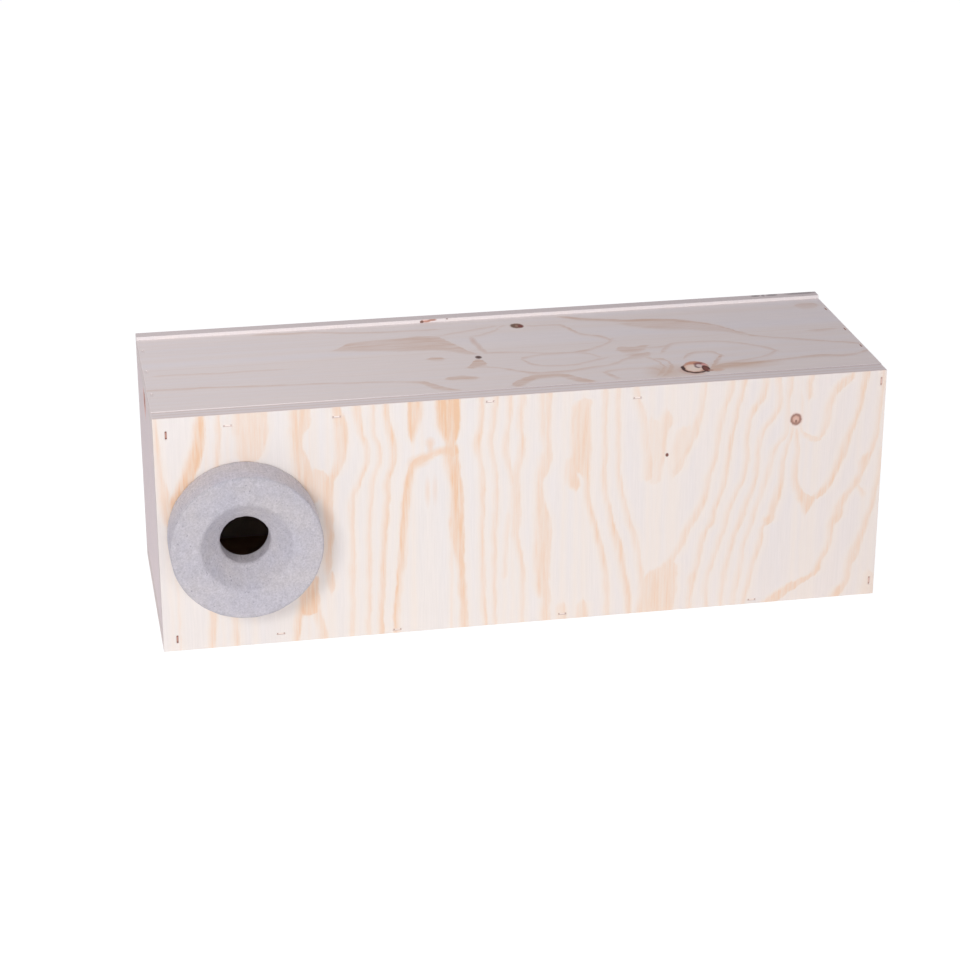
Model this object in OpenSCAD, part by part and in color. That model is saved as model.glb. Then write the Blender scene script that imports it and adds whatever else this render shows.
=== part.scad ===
// Long, low nest box of plywood boards with one round entrance near the left end.
// The entrance is bored through a thick ring of wood-concrete on the front panel.
// +X runs along the box, the entrance looks towards -Y, and +Z is up.
// The origin is at the middle of the whole part's footprint, on the surface it stands on.

/* [Box] */
// Length of the box from one end face to the other
box_l = 500; // [450:1:800]
// Depth of the box from the front face to the back face
box_d = 163; // [130:0.5:260]
// Height of the front panel
box_h = 168.5; // [140:0.5:260]

/* [Boards] */
// Thickness of the front panel
front_t = 12; // [9:0.5:18]
// Thickness of the top and bottom panels
deck_t = 12; // [9:0.5:18]
// Thickness of the two end panels
end_t = 12; // [9:0.5:18]
// Thickness of the back panel
back_t = 9; // [6:0.5:15]
// Height of the top panel's face above the front panel's upper edge
top_rise = 0.4; // [0:0.1:2]
// Height of the back panel's upper edge above the top panel's face
back_rise = 2.4; // [0:0.1:6]

/* [Entrance] */
// Outside diameter of the entrance ring
ring_d = 101.5; // [92:0.5:110]
// Thickness of the entrance ring, all of which stands out from the front panel
ring_t = 29; // [24:0.5:45]
// Distance from the left end of the box to the middle of the ring
ring_from_end = 56.5; // [55:0.5:250]
// Diameter of the entrance hole
hole_d = 33.5; // [26:0.5:44]
// Diameter of the funnel's mouth in the ring's face
mouth_d = 62; // [50:0.5:66]
// Depth of the funnel, from the ring's face to the entrance hole
funnel_depth = 15; // [5:0.5:20]
// Width of the broken edge round the ring's face
ring_arris = 0.8; // [0.2:0.1:2]
// Diameter of the hole in the front panel behind the ring
panel_hole_d = 50; // [46:0.5:60]

/* [Screws] */
// Diameter of a wood screw over its threads
screw_d = 3.5; // [3:0.1:4.5]
// Diameter of a wood screw's core between the threads
screw_core_d = 2.4; // [1.8:0.1:2.8]
// Diameter of a wood screw's countersunk head
screw_head_d = 7; // [6:0.1:9]
// Distance from one thread to the next
screw_pitch = 1.8; // [1.4:0.1:2.4]
// Plain length under a screw's head
screw_plain = 7; // [3:0.5:10]
// Length of a screw's point
screw_point = 4; // [2:0.5:6]
// Depth of a screw head below the board's face
screw_sink = 0.3; // [0.1:0.1:1]
// Gap all round between a screw and its hole
screw_fit = 0.05; // [0.02:0.01:0.1]
// Width of one arm of the cross recess in a screw head
recess_w = 1; // [0.6:0.1:1.4]
// Span of the cross recess in a screw head
recess_span = 4; // [3:0.1:5]
// Depth of the cross recess in a screw head
recess_depth = 1.5; // [0.8:0.1:2]
// Length of a screw that holds the back panel
back_screw_l = 30; // [24:1:40]
// Distance from an end of the box to the first screw in the back panel's long rows
back_screw_inset = 42; // [25:1:80]
// Number of screws in each long row of the back panel
back_screws_per_row = 3; // [2:1:6]
// Length of a screw that holds the entrance ring
ring_screw_l = 30; // [24:1:32]
// Diameter of the circle on which the ring's screws stand
ring_screw_pcd = 76; // [74:0.5:84]
// Number of screws that hold the entrance ring
ring_screw_count = 4; // [3:1:6]

/* [Staples] */
// Width of a staple over both legs
staple_w = 6; // [5:0.1:10]
// Thickness of the staple wire
staple_wire = 1.2; // [0.8:0.1:1.6]
// Length of a staple's legs, with its crown
staple_l = 28; // [20:1:38]
// Depth of a staple's crown below the board's face
staple_sink = 0.6; // [0.1:0.1:1.5]
// Gap all round between a staple and the wood
staple_fit = 0.05; // [0.02:0.01:0.1]

/* [Drainage] */
// Diameter of a drain hole in the bottom panel
drain_d = 8; // [5:0.5:12]
// Distance from a corner of the nest chamber to a drain hole, along both walls
drain_inset = 30; // [15:1:60]

/* [Hidden] */
$fn = 96;
// A cut runs this far past the face that it opens
cut = 1;

shell_h = box_h + top_rise;
back_h = shell_h + back_rise;
x_left = -box_l / 2;
y_front = (ring_t - box_d) / 2;
y_inside = y_front + front_t;
y_rear = y_front + box_d - back_t;
y_back = y_front + box_d;
chamber_l = box_l - 2 * end_t;
chamber_d = y_rear - y_inside;
chamber_h = shell_h - 2 * deck_t;

ring_x = x_left + ring_from_end;
ring_z = box_h / 2;

screw_r = screw_d / 2;
screw_core_r = screw_core_d / 2;
screw_head_r = screw_head_d / 2;
screw_head_h = screw_head_r - screw_r;
staple_shoulder = staple_wire / 3;

// Staples in the front panel: distance from the left end, then from the nearer long edge
top_row = [[49, 8], [121, 7], [224, 3.5], [325, 8]];
bottom_row = [[79.5, 6.5], [159.5, 2.5], [275, 4], [411, 3]];
// Upper and lower staples at the front panel's ends: distance from that end, then from the
// nearer long edge
left_upper = [8.5, 12];
left_lower = [9.5, 8.5];
right_upper = [3.5, 8];
right_lower = [3.5, 10.5];
// Staples in the top and bottom panels: distance from the end, then from the front face
left_deck_row = [[3, 44], [3, 89], [3, 131]];
right_deck_row = [[2, 50.5], [2, 86], [2, 130.5]];

face_wood = [0.95, 0.91, 0.88];
deck_wood = [0.79, 0.74, 0.74];
end_wood = [0.79, 0.75, 0.76];
back_wood = [0.83, 0.79, 0.77];
wood_concrete = [0.77, 0.76, 0.8];
zinc_steel = [0.72, 0.72, 0.74];
staple_steel = [0.45, 0.34, 0.3];

// Places children on a face, with +Z out of the face and +X along the box
module on_front(x, z) { translate([x, y_front, z]) rotate([90, 0, 0]) children(); }
module on_inside_of_front(x, z) { translate([x, y_inside, z]) rotate([-90, 0, 0]) children(); }
module on_back(x, z) { translate([x, y_back, z]) rotate([-90, 0, 0]) children(); }
module on_top(x, y) { translate([x, y, shell_h]) children(); }
module under_bottom(x, y) { translate([x, y, 0]) rotate([180, 0, 0]) children(); }

// A board with its lowest corner at the given point
module board(corner, size) { translate(corner) cube(size); }

// Section of a staple: crown up, legs cut to a point, all of it grown by a gap
module staple_outline(gap) {
    half = staple_w / 2 + gap;
    inner = staple_w / 2 - staple_wire - gap;
    crown_top = -staple_sink + gap;
    crown_under = -staple_sink - staple_wire - gap;
    tip = -staple_sink - staple_l - gap;
    polygon([
        [-half, crown_top - staple_shoulder], [-half + staple_shoulder, crown_top],
        [half - staple_shoulder, crown_top], [half, crown_top - staple_shoulder],
        [half, tip + staple_wire], [half - staple_wire / 2, tip],
        [inner, tip + staple_wire], [inner, crown_under],
        [-inner, crown_under], [-inner, tip + staple_wire],
        [-half + staple_wire / 2, tip], [-half, tip + staple_wire]
    ]);
}

// Staple of square wire, crown along X, driven down from the face at Z = 0
module staple() {
    rotate([90, 0, 0])
        linear_extrude(staple_wire, center = true) staple_outline(0);
}

// Wood cut away by a staple and by the dent over its crown
module staple_cut() {
    width = staple_wire + 2 * staple_fit;
    rotate([90, 0, 0])
        linear_extrude(width, center = true) {
            staple_outline(staple_fit);
            translate([-staple_w / 2, -staple_sink]) square([staple_w, staple_sink + cut]);
        }
}

// Countersunk wood screw with its head at the top, driven down from the face at Z = 0
module wood_screw(length) {
    head_top = -screw_sink;
    shank_top = head_top - screw_head_h;
    thread_end = head_top - length + screw_point;
    thread_count = floor((shank_top - screw_plain - thread_end) / screw_pitch);
    thread_top = thread_end + thread_count * screw_pitch;
    threads = [for (i = [0 : thread_count - 1]) each [
        [screw_core_r, thread_end + i * screw_pitch],
        [screw_r, thread_end + (i + 0.5) * screw_pitch]
    ]];
    difference() {
        rotate_extrude($fn = 48)
            polygon(concat(
                [[0, head_top - length]],
                threads,
                [[screw_core_r, thread_top], [screw_r, thread_top + screw_r - screw_core_r],
                 [screw_r, shank_top], [screw_head_r, head_top], [0, head_top]]
            ));
        for (turn = [0, 90])
            rotate([0, 0, turn])
                translate([-recess_span / 2, -recess_w / 2, head_top - recess_depth])
                    cube([recess_span, recess_w, recess_depth + cut]);
    }
}

// Wood cut away by a screw, with a countersink that opens out to the face
module screw_cut(length) {
    mouth_r = screw_head_r + screw_sink + screw_fit;
    hole_r = screw_r + screw_fit;
    translate([0, 0, -screw_sink - length - screw_fit])
        cylinder(h = length + screw_sink, r = hole_r, $fn = 48);
    translate([0, 0, hole_r - mouth_r])
        cylinder(h = mouth_r - hole_r, r1 = hole_r, r2 = mouth_r, $fn = 48);
    cylinder(h = cut, r = mouth_r, $fn = 48);
}

// Each set of fasteners is placed here once, for the fasteners and for their holes
module at_top_row() {
    for (p = top_row) on_front(x_left + p[0], box_h - p[1]) children();
}

module at_bottom_row() {
    for (p = bottom_row) on_front(x_left + p[0], p[1]) children();
}

module at_left_column() {
    on_front(x_left + left_upper[0], box_h - left_upper[1]) rotate([0, 0, 90]) children();
    on_front(x_left + left_lower[0], left_lower[1]) rotate([0, 0, 90]) children();
}

module at_right_column() {
    on_front(-x_left - right_upper[0], box_h - right_upper[1]) rotate([0, 0, 90]) children();
    on_front(-x_left - right_lower[0], right_lower[1]) rotate([0, 0, 90]) children();
}

module at_left_top() {
    for (p = left_deck_row) on_top(x_left + p[0], y_front + p[1]) rotate([0, 0, 90]) children();
}

module at_right_top() {
    for (p = right_deck_row) on_top(-x_left - p[0], y_front + p[1]) rotate([0, 0, 90]) children();
}

module at_left_bottom() {
    for (p = left_deck_row) under_bottom(x_left + p[0], y_front + p[1]) rotate([0, 0, 90]) children();
}

module at_right_bottom() {
    for (p = right_deck_row) under_bottom(-x_left - p[0], y_front + p[1]) rotate([0, 0, 90]) children();
}

module at_ring_screws() {
    for (i = [0 : ring_screw_count - 1]) {
        angle = (i + 0.5) * 360 / ring_screw_count;
        on_inside_of_front(ring_x + ring_screw_pcd / 2 * cos(angle),
                           ring_z + ring_screw_pcd / 2 * sin(angle)) children();
    }
}

// Screws through the back panel: a row into each deck and one into each end panel
module at_back_screws() {
    row_pitch = (box_l - 2 * back_screw_inset) / (back_screws_per_row - 1);
    for (i = [0 : back_screws_per_row - 1], z = [deck_t / 2, shell_h - deck_t / 2])
        on_back(x_left + back_screw_inset + i * row_pitch, z) children();
    for (side = [-1, 1])
        on_back(side * (box_l - end_t) / 2, shell_h / 2) children();
}

// Full-size plywood board over the front of the box, with the hole behind the ring
module front_panel() color(face_wood)
    difference() {
        board([x_left, y_front, 0], [box_l, front_t, box_h]);
        translate([ring_x, y_inside + cut, ring_z]) rotate([90, 0, 0])
            cylinder(h = front_t + 2 * cut, d = panel_hole_d);
        at_ring_screws() screw_cut(ring_screw_l);
        at_top_row() staple_cut();
        at_bottom_row() staple_cut();
        at_left_column() staple_cut();
        at_right_column() staple_cut();
    }

// Thinner board over the whole back, which comes off to clean the chamber
module back_panel() color(back_wood)
    difference() {
        board([x_left, y_rear, 0], [box_l, back_t, back_h]);
        at_back_screws() screw_cut(back_screw_l);
    }

// Top board, over both end panels and between the front and the back
module top_panel() color(deck_wood)
    difference() {
        board([x_left, y_inside, shell_h - deck_t], [box_l, chamber_d, deck_t]);
        at_top_row() staple_cut();
        at_left_column() staple_cut();
        at_right_column() staple_cut();
        at_left_top() staple_cut();
        at_right_top() staple_cut();
        at_back_screws() screw_cut(back_screw_l);
    }

// Bottom board, under both end panels, with a drain hole near each corner
module bottom_panel() color(deck_wood)
    difference() {
        board([x_left, y_inside, 0], [box_l, chamber_d, deck_t]);
        for (sx = [-1, 1], y = [y_inside + drain_inset, y_rear - drain_inset])
            translate([sx * (chamber_l / 2 - drain_inset), y, -cut])
                cylinder(h = deck_t + 2 * cut, d = drain_d, $fn = 48);
        at_bottom_row() staple_cut();
        at_left_column() staple_cut();
        at_right_column() staple_cut();
        at_left_bottom() staple_cut();
        at_right_bottom() staple_cut();
        at_back_screws() screw_cut(back_screw_l);
    }

// End board between the decks, the front and the back
module left_end_panel() color(end_wood)
    difference() {
        board([x_left, y_inside, deck_t], [end_t, chamber_d, chamber_h]);
        at_left_column() staple_cut();
        at_left_top() staple_cut();
        at_left_bottom() staple_cut();
        at_back_screws() screw_cut(back_screw_l);
    }

module right_end_panel() color(end_wood)
    difference() {
        board([-x_left - end_t, y_inside, deck_t], [end_t, chamber_d, chamber_h]);
        at_right_column() staple_cut();
        at_right_top() staple_cut();
        at_right_bottom() staple_cut();
        at_back_screws() screw_cut(back_screw_l);
    }

// Cast ring with a funnel that narrows to the entrance hole
module entrance_ring() color(wood_concrete)
    difference() {
        translate([ring_x, y_front, ring_z]) rotate([90, 0, 0])
            rotate_extrude()
                polygon([
                    [hole_d / 2, 0], [ring_d / 2, 0],
                    [ring_d / 2, ring_t - ring_arris], [ring_d / 2 - ring_arris, ring_t],
                    [mouth_d / 2, ring_t], [hole_d / 2, ring_t - funnel_depth]
                ]);
        at_ring_screws() screw_cut(ring_screw_l);
    }

module ring_screws() color(zinc_steel) at_ring_screws() wood_screw(ring_screw_l);

module back_screws() color(zinc_steel) at_back_screws() wood_screw(back_screw_l);

module front_staples_top() color(staple_steel) at_top_row() staple();

module front_staples_bottom() color(staple_steel) at_bottom_row() staple();

module front_staples_left() color(staple_steel) at_left_column() staple();

module front_staples_right() color(staple_steel) at_right_column() staple();

module top_staples_left() color(staple_steel) at_left_top() staple();

module top_staples_right() color(staple_steel) at_right_top() staple();

module bottom_staples_left() color(staple_steel) at_left_bottom() staple();

module bottom_staples_right() color(staple_steel) at_right_bottom() staple();

front_panel();
back_panel();
top_panel();
bottom_panel();
left_end_panel();
right_end_panel();
entrance_ring();
ring_screws();
back_screws();
front_staples_top();
front_staples_bottom();
front_staples_left();
front_staples_right();
top_staples_left();
top_staples_right();
bottom_staples_left();
bottom_staples_right();
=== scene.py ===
"""Looks of the sparrow nest box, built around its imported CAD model.

Sizes are in millimetres, times MM where Blender takes metres. The room, its lamps and its camera
are in metres.
"""

import math

import bpy
import numpy as np
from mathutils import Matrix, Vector


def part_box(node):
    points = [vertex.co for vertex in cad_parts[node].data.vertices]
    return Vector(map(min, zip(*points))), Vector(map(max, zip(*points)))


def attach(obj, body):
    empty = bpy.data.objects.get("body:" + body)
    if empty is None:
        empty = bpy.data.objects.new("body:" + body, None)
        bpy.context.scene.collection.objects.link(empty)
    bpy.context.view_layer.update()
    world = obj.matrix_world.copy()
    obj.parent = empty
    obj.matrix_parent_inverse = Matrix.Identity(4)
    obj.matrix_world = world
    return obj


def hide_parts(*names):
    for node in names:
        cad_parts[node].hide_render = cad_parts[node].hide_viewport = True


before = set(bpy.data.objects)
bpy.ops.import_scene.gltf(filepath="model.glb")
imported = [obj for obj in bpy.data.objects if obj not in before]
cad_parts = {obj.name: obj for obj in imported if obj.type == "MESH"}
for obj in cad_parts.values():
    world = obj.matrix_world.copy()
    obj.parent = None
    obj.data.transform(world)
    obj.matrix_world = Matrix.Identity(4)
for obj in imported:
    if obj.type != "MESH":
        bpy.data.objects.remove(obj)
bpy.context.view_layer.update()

# Bottom panel
#
# A 12 mm softwood plywood board with lengthwise face grain, cut to the inside depth. It runs under
# both end panels, is stapled up into them, and has a drain hole near each corner.

MM = 0.001
ARRIS = 0.3  # mm, how far every board's sharp edges are rounded


def linear(hex_colour):
    """sRGB hex to linear RGBA: a channel c becomes ((c + 0.055) / 1.055) ** 2.4, or c / 12.92 when
    it is dark."""
    channels = [int(hex_colour[i:i + 2], 16) / 255 for i in (1, 3, 5)]
    return tuple(c / 12.92 if c < 0.04045 else ((c + 0.055) / 1.055) ** 2.4 for c in channels) + (1.0,)


def add(tree, kind, inputs=None, out=0, **settings):
    """Adds a node, sets its settings, and fills or links its inputs. Returns one output, or the node.
    kind is the node's type, and after a space its operation, or the data type of a Mix node."""
    kind, _, mode = kind.partition(" ")
    node = tree.nodes.new("ShaderNode" + kind)
    if mode:
        settings["data_type" if kind == "Mix" else "operation"] = mode
    for name, value in settings.items():
        setattr(node, name, value)
    for place, value in (inputs or {}).items():
        if isinstance(value, bpy.types.NodeSocket):
            tree.links.new(value, node.inputs[place])
        else:
            node.inputs[place].default_value = value
    return node if out is None else node.outputs[out]


def shaded(name):
    """A new material with nodes, its node tree and its shader."""
    material = bpy.data.materials.new(name)
    material.use_nodes = True
    return material, material.node_tree, material.node_tree.nodes["Principled BSDF"]


def toned(tree, colour, noise, dark, light):
    """Scales a colour by dark to light, as a noise runs from 0.3 to 0.7."""
    tone = add(tree, "MapRange", {0: noise, 1: 0.3, 2: 0.7, 3: dark, 4: light})
    return add(tree, "VectorMath SCALE", {0: colour, "Scale": tone})


def grain_noise(tree, place, grain, along, across, detail, seed, rough=0.5):
    """Noise from 0 to 1 whose grains are along mm long down the wood grain and across mm broad."""
    scale = tuple(1 / (along if axis == grain else across) for axis in "XYZ")
    moved = add(tree, "VectorMath MULTIPLY_ADD", {0: place, 1: scale, 2: (seed, seed * 0.7, seed * 1.3)})
    return add(tree, "TexNoise", {"Vector": moved, "Scale": 1.0, "Detail": detail, "Roughness": rough})


def growth_layers(tree, place, grain, across, seed):
    """Latewood of a peeled veneer: layers 11 mm apart across the grain, bent by slow noise into
    arches, each one rising slowly and ending sharply."""
    slow = grain_noise(tree, place, grain, 210, 48, 1.0, seed)
    bent = add(tree, "Math MULTIPLY_ADD", {0: slow, 1: 6.4, 2: 0.0})
    order = add(tree, "Math MULTIPLY_ADD", {0: across, 1: 1 / 11, 2: bent})
    layer = add(tree, "Math FRACT", {0: order})
    rise = add(tree, "MapRange", {0: layer, 1: 0.55, 2: 0.88}, interpolation_type="SMOOTHSTEP")
    fall = add(tree, "MapRange", {0: layer, 1: 0.9, 2: 1.0, 3: 1.0, 4: 0.0},
               interpolation_type="SMOOTHSTEP")
    return add(tree, "Math MULTIPLY", {0: rise, 1: fall})


def soft_edges(board, width):
    """Joins the CAD mesh's loose triangles and breaks its sharp edges by width mm."""
    board.modifiers.new("weld", "WELD").merge_threshold = 1e-6
    flat = board.modifiers.new("flat", "DECIMATE")
    flat.decimate_type = "DISSOLVE"
    flat.angle_limit = math.radians(0.5)
    arris = board.modifiers.new("arris", "BEVEL")
    arris.width = width * MM
    arris.segments = 2
    arris.limit_method = "ANGLE"
    arris.angle_limit = math.radians(40)
    arris.use_clamp_overlap = False


def plywood(name, node_name, thick, grain, plies, seed, drawn=None, layers=0.5, inward=0):
    """Rotary-cut softwood plywood, planed smooth and left raw.

    Faces show creamy white wood with fibres down the grain and amber latewood. Edges show the
    plies in turn as long grain and as darker end grain, with a thin glue line between them.
    thick and grain are axis letters. inward is the side, 1 or -1 along the thickness, that looks
    into the nest chamber: its veneer is a lower grade, and is painted a darker brown as painted
    shade, which keeps the chamber dark through the bore. drawn(tree, bare, fibres, place, axes,
    normals) gives the colour of a face's own figure and its share of the board.
    """
    material, tree, shader = shaded(name)
    low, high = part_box(node_name)
    coords = add(tree, "TexCoord", out=None)
    place = add(tree, "VectorMath MULTIPLY_ADD", {0: coords.outputs["Object"], 1: (1 / MM,) * 3,
                                                  2: tuple(-v / MM for v in low)})
    split = add(tree, "SeparateXYZ", {0: place}, out=None)
    axes = dict(zip("XYZ", split.outputs))
    facing = add(tree, "SeparateXYZ", {0: coords.outputs["Normal"]}, out=None)
    normals = dict(zip("XYZ", facing.outputs))
    across_axis = [a for a in "XYZ" if a not in (thick, grain)][0]

    # Bare wood: cream and pinkish white in bands. Its fibres are finer than 0.1 mm, and are drawn
    # 0.8 mm broad, so that they show
    bands = grain_noise(tree, place, grain, 160, 16, 3.0, seed + 3)
    bands = add(tree, "MapRange", {0: bands, 1: 0.3, 2: 0.7})
    wood = add(tree, "Mix RGBA", {0: bands, 6: linear("#F3EBE7"), 7: linear("#F0EAE9")}, 2)
    fibres = grain_noise(tree, place, grain, 22, 0.8, 2.0, seed, 0.6)
    bare = toned(tree, wood, fibres, 0.975, 1.02)
    layer = growth_layers(tree, place, grain, axes[across_axis], seed)
    patchy = grain_noise(tree, place, grain, 90, 9, 2.0, seed + 9)
    patchy = add(tree, "MapRange", {0: patchy, 1: 0.35, 2: 0.65, 3: 0.1 * layers, 4: 0.9 * layers})
    strength = add(tree, "Math MULTIPLY", {0: layer, 1: patchy})
    face = add(tree, "Mix RGBA", {0: strength, 6: bare, 7: linear("#E8C49C")}, 2)
    # Painted shade: faces turned into the nest chamber are coloured a darker brown, so that the chamber
    # looks dark through the bore.
    if inward:
        within = add(tree, "Math MULTIPLY", {0: normals[thick], 1: inward})
        within = add(tree, "Math GREATER_THAN", {0: within, 1: 0.7})
        chamber_shade_brown = add(tree, "Mix RGBA", {0: bands, 6: linear("#C9AA8C"), 7: linear("#BC9A80")}, 2)
        chamber_shade_brown = toned(tree, chamber_shade_brown, fibres, 0.975, 1.02)
        face = add(tree, "Mix RGBA", {0: within, 6: face, 7: chamber_shade_brown}, 2)

    # Edges: ply after ply across the thickness, each swaying by up to a third of itself
    thickness = (high["XYZ".index(thick)] - low["XYZ".index(thick)]) / MM
    order = add(tree, "Math MULTIPLY_ADD", {0: axes[thick], 1: plies / thickness, 2: -0.35})
    sway = add(tree, "TexNoise", {"Vector": place, "Scale": 1 / 18, "Detail": 3.0})
    order = add(tree, "Math MULTIPLY_ADD", {0: sway, 1: 0.7, 2: order})
    ply = add(tree, "Math FLOOR", {0: order})
    cross = add(tree, "Math MODULO", {0: ply, 1: 2.0})
    grain_out = add(tree, "Math ABSOLUTE", {0: normals[grain]})
    grain_out = add(tree, "Math GREATER_THAN", {0: grain_out, 1: 0.5})
    end_grain = add(tree, "Math SUBTRACT", {0: cross, 1: grain_out})
    end_grain = add(tree, "Math ABSOLUTE", {0: end_grain})
    pores = grain_noise(tree, place, thick, 0.7, 5.0, 4.0, seed + 5, 0.7)
    end_wood = add(tree, "Mix RGBA", {0: pores, 6: linear("#E3D3CC"), 7: linear("#ECE1DB")}, 2)
    long_wood = add(tree, "Mix RGBA", {0: pores, 6: linear("#E9DEDA"), 7: linear("#F0E7E4")}, 2)
    edge = add(tree, "Mix RGBA", {0: end_grain, 6: long_wood, 7: end_wood}, 2)
    joint = add(tree, "Math ROUND", {0: order})
    joint = add(tree, "Clamp", {0: joint, 1: 1.0, 2: plies - 1.0})
    joint = add(tree, "Math SUBTRACT", {0: order, 1: joint})
    joint = add(tree, "Math ABSOLUTE", {0: joint})
    glue = add(tree, "MapRange", {0: joint, 1: 0.03, 2: 0.12, 3: 0.05, 4: 0.0})
    edge = add(tree, "Mix RGBA", {0: glue, 6: edge, 7: linear("#9C8070")}, 2)

    on_face = add(tree, "Math ABSOLUTE", {0: normals[thick]})
    on_face = add(tree, "MapRange", {0: on_face, 1: 0.6, 2: 0.8})
    colour = add(tree, "Mix RGBA", {0: on_face, 6: edge, 7: face}, 2)
    if drawn:
        figure, share = drawn(tree, bare, fibres, place, axes, normals)
        colour = add(tree, "Mix RGBA", {0: share, 6: colour, 7: figure}, 2)
    tree.links.new(colour, shader.inputs["Base Color"])
    shader.inputs["Roughness"].default_value = 0.68
    shader.inputs["IOR"].default_value = 1.45
    shader.inputs["Specular IOR Level"].default_value = 0.3
    relief = add(tree, "Mix FLOAT", {0: on_face, 2: pores, 3: fibres})
    bump = add(tree, "Bump", {"Height": relief, "Strength": 0.35, "Distance": 0.12 * MM})
    tree.links.new(bump, shader.inputs["Normal"])
    return material


def dress(node_name, material, width=None):
    """Gives a CAD node its material and its slot, and soft edges where a width is named."""
    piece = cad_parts[node_name]
    piece.data.materials.clear()
    piece.data.materials.append(material)
    if width:
        soft_edges(piece, width)


dress("bottom_panel", plywood("spruce_plywood_bottom", "bottom_panel", "Z", "X", 5, 21.0,
                              inward=1), ARRIS)

# End panels
#
# Two 12 mm plywood boards that stand between the bottom and the top, with upright face grain.
# The left one's outer face has a small reddish knot near its upper edge.


def knot(tree, colour, place, centre, radii, stops):
    """A knot as an ellipse round centre, in mm: the distance from the heart, 1 at the rim, with some
    noise, picks a colour from stops, each a distance, a colour and its cover of the wood."""
    off = add(tree, "VectorMath SUBTRACT", {0: place, 1: centre})
    scaled = add(tree, "VectorMath MULTIPLY", {0: off, 1: tuple(1 / r if r else 0.0 for r in radii)})
    reach = add(tree, "VectorMath LENGTH", {0: scaled}, "Value")
    rough = add(tree, "TexNoise", {"Vector": scaled, "Scale": 2.2, "Detail": 3.0})
    reach = add(tree, "Math MULTIPLY_ADD", {0: rough, 1: 0.3, 2: reach})
    halved = add(tree, "Math MULTIPLY", {0: reach, 1: 0.5})
    ramp = add(tree, "ValToRGB", {0: halved}, None)
    while len(ramp.color_ramp.elements) < len(stops):
        ramp.color_ramp.elements.new(0.5)
    for element, (at, shade, cover) in zip(ramp.color_ramp.elements, stops):
        element.position = (at + 0.15) / 2
        element.color = linear(shade)[:3] + (cover,)
    return add(tree, "Mix RGBA", {0: ramp.outputs["Alpha"], 6: colour, 7: ramp.outputs["Color"]}, 2)


def left_end_figure(tree, bare, fibres, place, axes, normals):
    """Outer face of the left end panel: pinkish wood, a little darker towards the top, with one knot
    there.
    """
    colour = add(tree, "Mix RGBA", {0: 0.6, 6: bare, 7: linear("#F3E1E0")}, 2)
    colour = toned(tree, colour, fibres, 0.95, 1.02)
    darker_upward = add(tree, "MapRange", {0: axes["Z"], 1: 40.0, 2: 140.0, 3: 1.03, 4: 0.96})
    colour = add(tree, "VectorMath SCALE", {0: colour, "Scale": darker_upward})
    colour = knot(tree, colour, place, (0, 71, 139), (0, 11.5, 12.5), RED_KNOT)
    return colour, add(tree, "Math LESS_THAN", {0: normals["X"], 1: -0.6})


RED_KNOT = [(0.0, "#C08C7C", 1.0), (0.25, "#B47A6A", 1.0), (0.36, "#8A5648", 1.0),
            (0.46, "#D8A092", 1.0), (0.8, "#F0C6BA", 0.85), (1.25, "#F6D6CE", 0.0)]
dress("left_end_panel", plywood("spruce_plywood_left_end", "left_end_panel", "X", "Z", 5, 33.0,
                                left_end_figure, inward=1), ARRIS)
dress("right_end_panel", plywood("spruce_plywood_right_end", "right_end_panel", "X", "Z", 5, 47.0,
                                 layers=0.35, inward=-1), ARRIS)

# Top panel
#
# The same board as the bottom one, without holes. Its outer face is a peeled veneer with three
# knots, and its growth layers run round them in loops.


def growth_line(tree, along, across, length, breadth, strength, course):
    """Latewood of one growth layer, from 0 to its strength.

    along runs from 0 to 1 over length mm, and across is in mm, up to breadth. course is a list of
    (along, across, width) in mm down the line. Between its points the line's place and width run as
    smooth curves, and a line that stops short of the board's edge tapers out in 3 mm. Its colour
    ends sharply on the right and fades in over 6 mm on the left, or the other way round where
    strength is negative. Also returns how far a point lies within the line, in mm, below 0 outside.
    """
    widest = 40.0
    rows = sorted(course)
    if rows[0][0] > 1:
        rows.insert(0, (rows[0][0] - 3, rows[0][1], -2.0))
    if rows[-1][0] < length - 3:
        rows.append((rows[-1][0] + 3, rows[-1][1], -2.0))
    curves = []
    for column, low, span in ((1, 0.0, breadth), (2, -2.0, widest)):
        node = add(tree, "FloatCurve", {0: 1.0, 1: along}, None)
        node.mapping.extend = "HORIZONTAL"
        curve = node.mapping.curves[0]
        while len(curve.points) < len(rows):
            curve.points.new(0.5, 0.5)
        for point, row in zip(curve.points, rows):
            point.location = (row[0] / length, (row[column] - low) / span)
            point.handle_type = "AUTO_CLAMPED"
        node.mapping.update()
        curves.append(node.outputs[0])
    side = 1.0 if strength > 0 else -1.0
    aside = add(tree, "Math MULTIPLY_ADD", {0: curves[0], 1: -breadth, 2: across})
    half = add(tree, "Math MULTIPLY_ADD", {0: curves[1], 1: widest / 2, 2: -1.0})
    from_sharp = add(tree, "Math MULTIPLY_ADD", {0: aside, 1: -side, 2: half})
    from_soft = add(tree, "Math MULTIPLY_ADD", {0: aside, 1: side, 2: half})
    sharp = add(tree, "MapRange", {0: from_sharp, 1: -1.4, 2: 1.1}, interpolation_type="SMOOTHSTEP")
    soft = add(tree, "MapRange", {0: from_soft, 1: -3.0, 2: 3.0, 4: abs(strength)},
               interpolation_type="SMOOTHSTEP")
    within = add(tree, "Math MINIMUM", {0: from_sharp, 1: from_soft})
    return add(tree, "Math MULTIPLY", {0: sharp, 1: soft}), within


def all_lines(tree, along, across, length, breadth, lines, halo):
    """The strongest of many growth lines at each point, and a glow from 0 to 1 that reaches halo
    mm out from them all."""
    total = nearest = None
    for strength, *course in lines:
        line, within = growth_line(tree, along, across, length, breadth, strength, course)
        total = line if total is None else add(tree, "Math MAXIMUM", {0: total, 1: line})
        nearest = within if nearest is None else add(tree, "Math MAXIMUM", {0: nearest, 1: within})
    glow = add(tree, "MapRange", {0: nearest, 1: -halo, 2: 0.5}, interpolation_type="SMOOTHSTEP")
    return total, glow


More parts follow.
